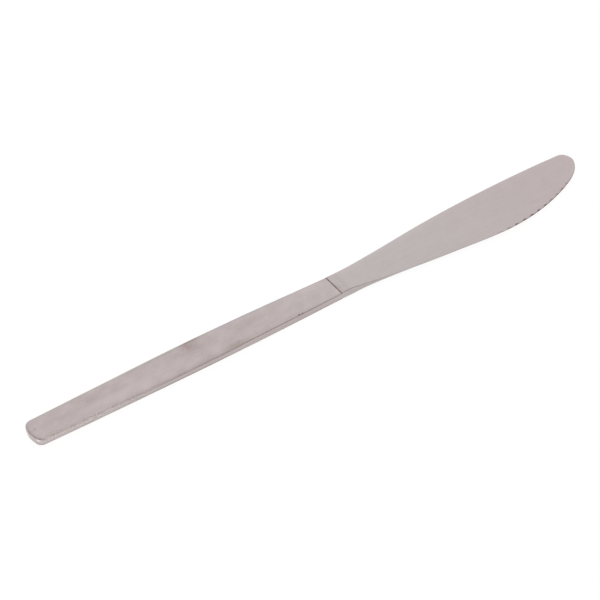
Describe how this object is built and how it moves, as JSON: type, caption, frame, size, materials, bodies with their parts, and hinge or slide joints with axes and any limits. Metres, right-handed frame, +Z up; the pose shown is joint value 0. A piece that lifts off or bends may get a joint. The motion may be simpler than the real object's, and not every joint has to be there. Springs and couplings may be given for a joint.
{
  "type": "table knife",
  "caption": "Slim all-steel table knife with a round-tipped, finely scalloped blade, full tang and flat soldered handle scales.",
  "frame": {"origin": "on the table under the middle of the knife's bounding box, with the knife lying flat", "axes": "+X along the handle towards the blade's tip, +Y towards the spine, +Z up out of the table"},
  "size_m": [0.2116, 0.0194, 0.0027],
  "materials": {
    "blade_steel": "satin, finely brushed",
    "handle_steel": "satin, worn and smudged",
    "solder": "dull, tarnished brown"
  },
  "bodies": {
    "root": {"blade": "blade_steel", "upper_handle_scale": "handle_steel", "lower_handle_scale": "handle_steel", "upper_solder_layer": "solder", "lower_solder_layer": "solder"}
  },
  "joints": []
}
